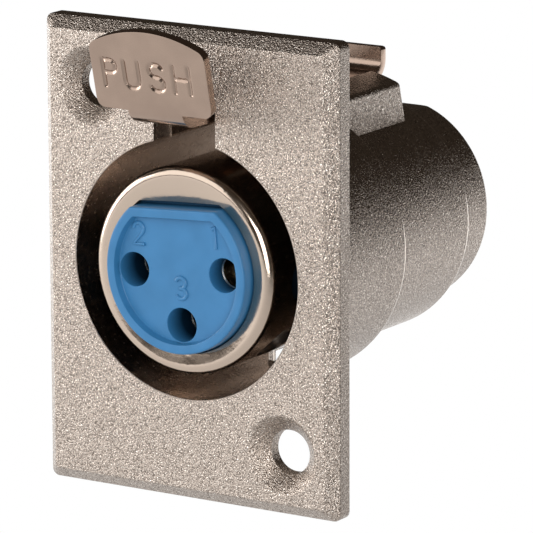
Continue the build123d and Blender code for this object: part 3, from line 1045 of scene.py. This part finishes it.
def nose_ring(sizes, inset, depth):
    """The nose's D shape, drawn in by a distance, as a ring of points at a depth."""
    radius, flat = sizes.radius - inset, sizes.flat - inset
    corner = sizes.corner
    side = acos((flat - corner) / (radius - corner))
    middle = ((radius - corner) * sin(side), flat - corner)
    around = arc((0, 0), radius, 90 + degrees(side), 450 - degrees(side), 3 * ROUND // 4)
    right = arc(middle, corner, 90 - degrees(side), 90, 8)[1:]
    left = [(-x, z) for x, z in reversed(right)]
    return [(x, at(depth), z) for x, z in around + right + left]


def nose_rings(sizes):
    """The nose from its shoulder, over its rounded chamfer and raised rim, to the sunk face."""
    front, chamfer, rim, recess = sizes.front, sizes.chamfer, sizes.rim, sizes.recess
    soft = sizes.hole_edge
    inner = chamfer + rim
    steps = [
        (0, sizes.shoulder + MM),
        (0, front + chamfer + soft),
        (soft / 4, front + chamfer),
        (chamfer - soft / 2, front + soft / 2),
        (chamfer, front + soft / 6),
        (chamfer + soft, front),
        (inner - soft, front),
        (inner - soft / 4, front + soft / 4),
        (inner, front + soft),
        (inner + sizes.draft, front + recess - soft / 2),
        (inner + sizes.draft + soft / 2, front + recess),
    ]
    return [nose_ring(sizes, inset, depth) for inset, depth in steps]


class SOCKET_OT_insert(bpy.types.Operator):
    """Models the blue insulator with its D-shaped nose, raised rim and pin holes"""

    bl_idname = "socket.insert"
    bl_label = "Front insert"

    def execute(self, context):
        sizes = context.scene.socket_insert
        insert = add_skin("front_insert_look", nose_rings(sizes))
        body = add_cylinder("insert_body", sizes.body_radius, sizes.shoulder, sizes.end)
        combine(insert, body, "UNION")
        cut(insert, (pin_hole_cutter(sizes, heading, front) for _, heading, front in POLES))
        turn_about_axis(insert, sizes.turn)
        dress(insert, "moulded_blue_nylon", "shell", "blue_plastic", "front_insert")
        return {"FINISHED"}


def stroke_arc(x, y, rx, ry, start, end, count=14):
    """An elliptic arc of a letter's stroke, in shares of the letter's height."""
    step = radians(end - start) / count
    turns = [radians(start) + step * i for i in range(count + 1)]
    return [(x + rx * cos(turn), y + ry * sin(turn)) for turn in turns]


# The centre lines of the digits and letters, in shares of their height.
GLYPHS = {
    "1": [[(0.0, 0.9), (0.16, 1.0), (0.16, 0.0)]],
    "2": [stroke_arc(0.3, 0.72, 0.28, 0.28, 175, -35) + [(0.02, 0.0), (0.62, 0.0)]],
    "3": [
        stroke_arc(0.28, 0.75, 0.27, 0.25, 160, -90) + [(0.2, 0.5)],
        stroke_arc(0.28, 0.25, 0.29, 0.25, 90, -160),
    ],
    "P": [
        [(0, 0), (0, 1)],
        [(0, 1), (0.3, 1)] + stroke_arc(0.3, 0.76, 0.24, 0.24, 90, -90) + [(0, 0.52)],
    ],
    "U": [[(0, 1), (0, 0.3)] + stroke_arc(0.3, 0.3, 0.3, 0.3, 180, 360) + [(0.6, 1)]],
    "S": [
        stroke_arc(0.3, 0.76, 0.29, 0.24, 25, 270) + stroke_arc(0.3, 0.26, 0.3, 0.26, 90, -155)
    ],
    "H": [[(0, 0), (0, 1)], [(0.66, 0), (0.66, 1)], [(0, 0.52), (0.66, 0.52)]],
}


class SOCKET_OT_pole_numbers(bpy.types.Operator):
    """Moulds the plain pole numbers on the insert's face"""

    bl_idname = "socket.pole_numbers"
    bl_label = "Pole numbers"

    def execute(self, context):
        sizes = context.scene.socket_insert
        y, size = at(sizes.front + sizes.recess + DIGIT_SINK), sizes.digit_height
        for digit, (x, z) in DIGIT_PLACES.items():
            strokes = [
                [(x * MM + across * size, y, z * MM + (up - 0.5) * size) for across, up in stroke]
                for stroke in GLYPHS[digit]
            ]
            name = f"pole_number_{digit}"
            number = add_wire(name, strokes, sizes.digit_stroke, roundness=4)
            turn_about_axis(number, sizes.turn)
            dress(number, "moulded_blue_nylon", "shell", "blue_plastic", smooth=50)
        return {"FINISHED"}


def contact_body(sizes, heading, front):
    """A contact's turned body: socket bore, shank and cup."""
    edge = CONTACT_EDGE
    profile = [
        (0, front + sizes.bore_length),
        (sizes.contact_bore, front + sizes.bore_length),
        (sizes.contact_bore, front + edge),
        (sizes.contact_bore + edge, front),
        (sizes.contact_radius - edge, front),
        (sizes.contact_radius, front + edge),
        (sizes.contact_radius, sizes.end),
        (sizes.shank_radius, sizes.end),
        (sizes.shank_radius, sizes.cup_start),
        (sizes.cup_radius, sizes.cup_start),
        (sizes.cup_radius, sizes.cup_end - edge),
        (sizes.cup_radius - edge, sizes.cup_end),
        (sizes.cup_bore + edge, sizes.cup_end),
        (sizes.cup_bore, sizes.cup_end - edge),
        (sizes.cup_bore, sizes.cup_end - sizes.cup_bore_length),
        (0, sizes.cup_end - sizes.cup_bore_length),
    ]
    return add_turned("contact", profile, *pole_place(sizes, heading), CONTACT_STEPS)


def contact_cutters(sizes, heading, front):
    """The slit between a contact's fingers and the open side of its cup, in turn."""
    x, z = pole_place(sizes, heading)
    low = (x - sizes.slit / 2, at(front - CLEAR), z - CONTACT_WIDE)
    high = (x + sizes.slit / 2, at(front + sizes.slit_length), z + CONTACT_WIDE)
    yield add_block("slit_cutter", low, high)
    low = (x - CONTACT_WIDE, at(sizes.cup_end - sizes.cup_scoop), z)
    high = (x + CONTACT_WIDE, at(sizes.cup_end + CLEAR), z + CONTACT_WIDE)
    yield add_block("scoop_cutter", low, high)


class SOCKET_OT_contacts(bpy.types.Operator):
    """Turns the three socket contacts with their slits and solder cups"""

    bl_idname = "socket.contacts"
    bl_label = "Contacts"

    def execute(self, context):
        sizes = context.scene.socket_insert
        for number, *place in POLES:
            contact = cut(contact_body(sizes, *place), contact_cutters(sizes, *place))
            contact.name = f"contact_{number}_look"
            turn_about_axis(contact, sizes.turn)
            node = f"contact_{number}"
            dress(contact, "turned_silver_plate", "shell", "plated_brass", node)
        return {"FINISHED"}


# Latch

HOOK_STEP = 0.02 * MM  # keeps the hook's root off the arm's lower face


def arm_height(sizes, depth):
    """The height of the arm's lower face at a depth."""
    return sizes.arm_height - tan(sizes.fall) * (depth - sizes.arm_depth)


def latch_path(sizes):
    """The front and lower line of the bent sheet from tab to tail, as (depth, height) points."""
    lean = tan(sizes.lean)
    foot = arm_height(sizes, sizes.foot_depth)
    rear = sizes.tail_depth + sizes.sheet
    corners = [
        (sizes.foot_depth - lean * (sizes.tab_top - sizes.foot_height), sizes.tab_top),
        (sizes.foot_depth + lean * (sizes.foot_height - foot), foot),
        (rear, arm_height(sizes, rear)),
        (rear, sizes.tail_top),
    ]
    return round_path(corners, sizes.bend, count=16)


def run_lengths(path):
    """The length of a path up to each of its points."""
    lengths = [0.0]
    for first, second in zip(path, path[1:]):
        lengths.append(lengths[-1] + (Vector(second) - Vector(first)).length)
    return lengths


def along(path, lengths, run):
    """The point of a path at a run along it, and the way that the path goes there."""
    last = len(path) - 2
    index = min(last, max(0, next((i for i, upto in enumerate(lengths[1:]) if upto >= run), last)))
    first, second = Vector(path[index]), Vector(path[index + 1])
    share = (run - lengths[index]) / (lengths[index + 1] - lengths[index])
    return first.lerp(second, share), (second - first).normalized()


def stamped(sizes, strokes, x, height):
    """How deep the stamped letters are at a place on the tab."""
    spot = Vector((x, height))
    nearest = sizes.letter_stroke
    for first, second in strokes:
        run = second - first
        share = max(0.0, min(1.0, (spot - first).dot(run) / run.length_squared))
        nearest = min(nearest, (spot - first - run * share).length)
    share = nearest / sizes.letter_stroke
    return sizes.letter_depth * (1 - share * share) ** 2


def letter_strokes(sizes):
    """The straight pieces of the stamped letters, each as two points on the tab."""
    base, size = sizes.letter_base, sizes.letter_height
    strokes = []
    for letter, left in LETTER_LEFTS.items():
        for stroke in GLYPHS[letter]:
            points = [
                Vector((left * MM + across * size, base + up * size)) for across, up in stroke
            ]
            strokes += [(a, b) for a, b in zip(points, points[1:]) if (b - a).length > WELD]
    return strokes


def tab_limits(sizes, x):
    """The lowest and highest height of the tab at a distance from its middle."""
    half = sizes.tab_half
    rise = sizes.tab_top - sizes.shoulder
    arch = (half * half + rise * rise) / (2 * rise)
    top = sizes.tab_top - arch + sqrt(arch * arch - x * x)

    def ease(corner):
        inside = max(0.0, abs(x) - (half - corner))
        return corner - sqrt(max(0.0, corner * corner - inside * inside))

    return sizes.tab_bottom + ease(sizes.foot_corner), top - ease(sizes.corner)


TAB_ROWS = 64
WING_COLUMNS = 26
ARM_COLUMNS = 46
TAIL_ROWS = (1.0, 0.8, 0.6, 0.4, 0.2, 0.0)  # before the tail's end, in shares of its corner
EAR_STEPS = 16


def column_places(sizes):
    """The X of every column of the tab's grid, with a column on each edge of the arm."""
    wing = (sizes.tab_half - sizes.arm_half) / WING_COLUMNS
    arm = 2 * sizes.arm_half / ARM_COLUMNS
    places = [-sizes.tab_half + wing * i for i in range(WING_COLUMNS)]
    places += [-sizes.arm_half + arm * i for i in range(ARM_COLUMNS)]
    return places + [sizes.arm_half + wing * i for i in range(WING_COLUMNS + 1)]


def add_tab_grid(sizes, path, lengths):
    """The tab as a fine grid with the letters stamped in."""
    strokes = letter_strokes(sizes)

    def tab_point(x, share):
        bottom, top = tab_limits(sizes, x)
        height = bottom + (top - bottom) * share / TAB_ROWS
        spot, way = along(path, lengths, (sizes.tab_top - height) / cos(sizes.lean))
        inwards = Vector((-way.y, way.x)) * stamped(sizes, strokes, x, height)
        return x, at(spot.x + inwards.x), spot.y + inwards.y

    places = column_places(sizes)
    rows = [[tab_point(x, row) for x in places] for row in range(TAB_ROWS + 1)]
    return add_grid("latch_look", rows)


def add_arm_grid(sizes, path, lengths):
    """The neck, arm and tail as one long strip, with rows close together in the bends."""
    start = (sizes.tab_top - sizes.tab_bottom) / cos(sizes.lean)
    tail, corner = lengths[-1], sizes.tail_corner
    runs = [start, *(run for run in lengths[:-1] if run > start + WELD)]
    runs += [tail - corner * share for share in TAIL_ROWS]
    step = 2 * sizes.arm_half / ARM_COLUMNS
    rows = []
    for run in runs:
        spot, _ = along(path, lengths, run)
        into_corner = max(0.0, run - (tail - corner))
        ease = corner - sqrt(max(0.0, corner * corner - into_corner * into_corner))
        narrowing = 1 - ease / sizes.arm_half
        places = [(-sizes.arm_half + step * i) * narrowing for i in range(ARM_COLUMNS + 1)]
        rows.append([(x, at(spot.x), spot.y) for x in places])
    return add_grid("arm_strip", rows)


def hinge_ears(sizes):
    """The two ears under the arm, with the hinge holes."""
    depth, radius = sizes.hinge_depth, sizes.ear_radius
    root = arm_height(sizes, depth) + sizes.sheet / 2
    outline = [
        (depth - radius, root),
        *arc((depth, sizes.hinge_height), radius, 180, 360, EAR_STEPS),
        (depth + radius, root),
    ]
    inner = sizes.arm_half - sizes.sheet
    ears = []
    for side in (-1, 1):
        points = [(side * inner, at(depth), height) for depth, height in outline]
        ear = add_prism("ear", points, (side * sizes.sheet, 0, 0))
        middle = (side * (inner + sizes.sheet / 2), at(sizes.hinge_depth), sizes.hinge_height)
        hole = add_rod("ear_cutter", sizes.ear_hole, middle, (1, 0, 0), 2 * sizes.sheet)
        ears.append(combine(ear, hole, "DIFFERENCE"))
    return ears


def latch_hook(sizes):
    """The hook lanced out of the arm."""
    root = arm_height(sizes, sizes.hook_root)
    slope = (root - sizes.hook_bottom) / (sizes.hook_tip - sizes.hook_root)
    middle = sizes.sheet / 2
    outline = [
        (sizes.hook_root - sizes.sheet, root + middle),
        (sizes.hook_root - sizes.sheet, root + HOOK_STEP),
        (sizes.hook_root, root),
        (sizes.hook_tip, sizes.hook_bottom),
        (sizes.hook_tip, sizes.hook_bottom + sizes.sheet * sqrt(1 + slope * slope)),
        (sizes.hook_root + middle, root + middle),
    ]
    return add_side_prism("hook", outline, sizes.hook_half)


def bent_sheet(sizes):
    """The tab, neck, arm and tail as one thickened sheet with rounded edges."""
    path = latch_path(sizes)
    lengths = run_lengths(path)
    latch = add_tab_grid(sizes, path, lengths)
    strip = add_arm_grid(sizes, path, lengths)
    activate(latch)
    strip.select_set(True)
    bpy.ops.object.join()
    face_outwards(latch, distance=20 * WELD)
    tab_face = max(latch.data.polygons, key=lambda face: face.center.z)
    if tab_face.normal.y > 0:
        latch.data.flip_normals()
    thicken = latch.modifiers.new("Thickness", "SOLIDIFY")
    thicken.thickness = sizes.sheet
    thicken.offset = -1.0
    thicken.use_even_offset = True
    bpy.ops.object.modifier_apply(modifier=thicken.name)
    round_edges(latch, sizes.edge, segments=2, limit=60)
    return latch


class SOCKET_OT_latch(bpy.types.Operator):
    """Bends the latch from one sheet, with its stamped tab, hook, ears and tail"""

    bl_idname = "socket.latch"
    bl_label = "Latch"

    def execute(self, context):
        sizes = context.scene.socket_latch
        latch = bent_sheet(sizes)
        window = [
            (sizes.hook_root, sizes.hook_bottom),
            (sizes.lance_end, sizes.hook_bottom),
            (sizes.lance_end, sizes.tail_top),
            (sizes.hook_root, sizes.tail_top),
        ]
        cut(latch, [add_side_prism("lance_cutter", window, sizes.hook_half + sizes.lance_gap)])
        for part in (latch_hook(sizes), *hinge_ears(sizes)):
            combine(latch, part, "UNION")
        dress(latch, "rolled_nickel_plate", "latch", "sheet_nickel", "latch_lever")
        return {"FINISHED"}


SPRING_WIRE = 0.2 * MM  # radius
SPRING_TURNS = 2
SPRING_STEPS = 64


class SOCKET_OT_spring(bpy.types.Operator):
    """Coils the latch spring as it stands at rest, though the lever presses it flatter as it rocks
    """

    bl_idname = "socket.spring"
    bl_label = "Spring"

    def execute(self, context):
        low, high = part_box("latch_spring")
        middle = (Vector(low) + Vector(high)) / 2
        radius = (high[0] - low[0]) / 2 - SPRING_WIRE
        rise = high[2] - low[2] - 2 * SPRING_WIRE
        coil = []
        for step in range(SPRING_STEPS + 1):
            share = step / SPRING_STEPS
            turn = SPRING_TURNS * 2 * pi * share
            across, back = radius * cos(turn), radius * sin(turn)
            height = low[2] + SPRING_WIRE + rise * share
            coil.append((middle.x + across, middle.y + back, height))
        spring = add_wire("latch_spring_look", [coil], SPRING_WIRE, roundness=3)
        dress(spring, "bright_steel", "shell", "plain_steel", "latch_spring", smooth=60)
        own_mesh(spring)
        return {"FINISHED"}


# Stage

PICTURE_WIDTH = 533  # pixels of the photograph
SENSOR = 36.0  # millimetres
NEAR_CLIP = 0.01
FLOOR_RADIUS, FLOOR_HEIGHT = 0.75, -0.07
TENT_RADIUS, TENT_HEIGHT = 0.9, -0.02
WORLD_LIGHT = 0.6
AIM = (0, 0.01, 0)
# Name, place, width and watts of each soft box.
LAMPS = (
    ("left_box", (-0.62, -0.22, 0.10), 0.36, 2.0),
    ("front_box", (-0.37, -0.54, 0.30), 0.6, 1.7),
    ("right_box", (0.42, -0.58, 0.16), 0.45, 3.6),
)


def white_to_camera(tree, rest):
    """White to the camera, also through glass, and another shader to all other light."""
    path = add_node(tree, "LightPath").outputs
    seen = reckon(tree, "MAXIMUM", path["Is Camera Ray"], path["Is Transmission Ray"])
    white = add_node(tree, "Emission", {"Color": (1, 1, 1, 1), "Strength": 1.0}).outputs[0]
    return add_node(tree, "MixShader", {0: seen, 1: rest, 2: white}).outputs[0]


def set_tree(piece, name):
    """The empty node tree of a new material on a piece of the set."""
    material = bpy.data.materials.new(name)
    piece.data.materials.append(material)
    return empty_tree(material)


class SOCKET_OT_stage(bpy.types.Operator):
    """Sets the floor, the dark tent, the lamps, the world and the camera"""

    bl_idname = "socket.stage"
    bl_label = "Stage"

    def execute(self, context):
        finish = context.scene.socket_finish
        self.set_floor(finish)
        self.set_tent(finish)
        for lamp in LAMPS:
            self.set_lamp(context.scene, *lamp)
        self.set_world(context.scene)
        self.set_camera(context.scene)
        context.scene.view_settings.view_transform = "Standard"
        return {"FINISHED"}

    def set_floor(self, finish):
        """A round floor: pale cloth, white to the camera, and a glow in the plate's mirror.

        The glow grows from right to left, and again behind the socket.
        """
        place = (0, 0, FLOOR_HEIGHT)
        disc = {"vertices": ROUND, "radius": FLOOR_RADIUS, "fill_type": "NGON"}
        floor = add_shape("floor", "circle", location=place, **disc)
        tree = set_tree(floor, "pale_floor")
        cloth = add_node(tree, "BsdfDiffuse", {"Color": finish.floor}).outputs[0]
        spot = axes(tree)
        left = fade(tree, spot["X"], start=0.3, end=-0.3, first=0.3, last=1.25)
        behind = fade(tree, spot["Y"], start=0.14, end=0.26)
        strength = reckon(tree, "ADD", left, behind)
        glow = add_node(tree, "Emission", {"Strength": strength}).outputs[0]
        glossy = add_node(tree, "LightPath").outputs["Is Glossy Ray"]
        lit = add_node(tree, "MixShader", {0: glossy, 1: cloth, 2: glow}).outputs[0]
        add_node(tree, "OutputMaterial", {"Surface": white_to_camera(tree, lit)})

    def set_tent(self, finish):
        """A dark ball round the set that only mirrors see: the plate's upper faces stay dark."""
        ball = {"segments": 64, "ring_count": 32, "radius": TENT_RADIUS}
        tent = add_shape("tent", "uv_sphere", location=(0, 0, TENT_HEIGHT), **ball)
        tree = set_tree(tent, "dark_tent")
        glow = add_node(tree, "Emission", {"Color": finish.tent, "Strength": 1.0})
        add_node(tree, "OutputMaterial", {"Surface": glow.outputs[0]})
        for rays in ("camera", "diffuse", "shadow", "transmission"):
            setattr(tent, f"visible_{rays}", False)

    def set_lamp(self, scene, name, place, size, watts):
        """A square soft box that faces the socket."""
        lamp = bpy.data.lights.new(name, "AREA")
        lamp.size = size
        lamp.energy = watts
        holder = bpy.data.objects.new(name, lamp)
        scene.collection.objects.link(holder)
        turn = (Vector(AIM) - Vector(place)).to_track_quat("-Z", "Y")
        holder.matrix_world = Matrix.Translation(place) @ turn.to_matrix().to_4x4()

    def set_world(self, scene):
        """An even white surround, weaker to everything but the camera."""
        world = bpy.data.worlds.new("surround")
        tree = empty_tree(world)
        seen = add_node(tree, "LightPath").outputs["Is Camera Ray"]
        strength = fade(tree, seen, start=0.0, end=1.0, first=WORLD_LIGHT)
        inputs = {"Color": (1, 1, 1, 1), "Strength": strength}
        background = add_node(tree, "Background", inputs)
        add_node(tree, "OutputWorld", {"Surface": background.outputs[0]})
        scene.world = world

    def set_camera(self, scene):
        """The camera at the photograph's angle."""
        stage = scene.socket_stage
        level = cos(stage.elevation)
        ahead, aside = -cos(stage.azimuth) * level, sin(stage.azimuth) * level
        back = Vector((aside, ahead, sin(stage.elevation)))
        right = Vector((cos(stage.azimuth), sin(stage.azimuth), 0))
        up = back.cross(right)
        across = right * cos(stage.roll) + up * sin(stage.roll)
        upright = up * cos(stage.roll) - right * sin(stage.roll)
        view = Matrix((across, upright, back)).transposed().to_4x4()
        view.translation = Vector((0, at(stage.target_depth), 0)) + back * stage.distance
        lens = bpy.data.cameras.new("camera")
        lens.sensor_width = SENSOR
        lens.lens = stage.focal / PICTURE_WIDTH * SENSOR
        lens.shift_x = stage.shift_across / PICTURE_WIDTH
        lens.shift_y = -stage.shift_up / PICTURE_WIDTH
        lens.clip_start = NEAR_CLIP
        camera = bpy.data.objects.new("camera", lens)
        scene.collection.objects.link(camera)
        camera.matrix_world = view
        scene.camera = camera


# Sidebar and registration

SETTINGS = {
    "socket_casting": SocketCasting,
    "socket_barrel": SocketBarrel,
    "socket_insert": SocketInsert,
    "socket_latch": SocketLatch,
    "socket_finish": SocketFinish,
    "socket_stage": SocketStage,
}
# In the order in which they run.
OPERATORS = (
    SOCKET_OT_finishes,
    SOCKET_OT_housing,
    SOCKET_OT_barrel,
    SOCKET_OT_insert,
    SOCKET_OT_pole_numbers,
    SOCKET_OT_contacts,
    SOCKET_OT_latch,
    SOCKET_OT_spring,
    SOCKET_OT_stage,
)


class SOCKET_PT_panel(bpy.types.Panel):
    """Lists the socket's pieces and sizes"""

    bl_label = "Panel Socket"
    bl_idname = "SOCKET_PT_panel"
    bl_space_type = "VIEW_3D"
    bl_region_type = "UI"
    bl_category = "Socket"

    def draw(self, context):
        for operator in OPERATORS:
            self.layout.operator(operator.bl_idname)
        for group in SETTINGS:
            settings = getattr(context.scene, group)
            box = self.layout.box()
            for name in settings.__annotations__:
                box.prop(settings, name)


def register():
    for group, settings in SETTINGS.items():
        bpy.utils.register_class(settings)
        setattr(bpy.types.Scene, group, PointerProperty(type=settings))
    for operator in OPERATORS:
        bpy.utils.register_class(operator)
    bpy.utils.register_class(SOCKET_PT_panel)


def unregister():
    bpy.utils.unregister_class(SOCKET_PT_panel)
    for operator in reversed(OPERATORS):
        bpy.utils.unregister_class(operator)
    for group, settings in reversed(SETTINGS.items()):
        delattr(bpy.types.Scene, group)
        bpy.utils.unregister_class(settings)


def main():
    """Builds the whole scene."""
    register()
    for operator in OPERATORS:
        _, step = operator.bl_idname.split(".")
        getattr(bpy.ops.socket, step)()


if __name__ == "__main__":
    main()
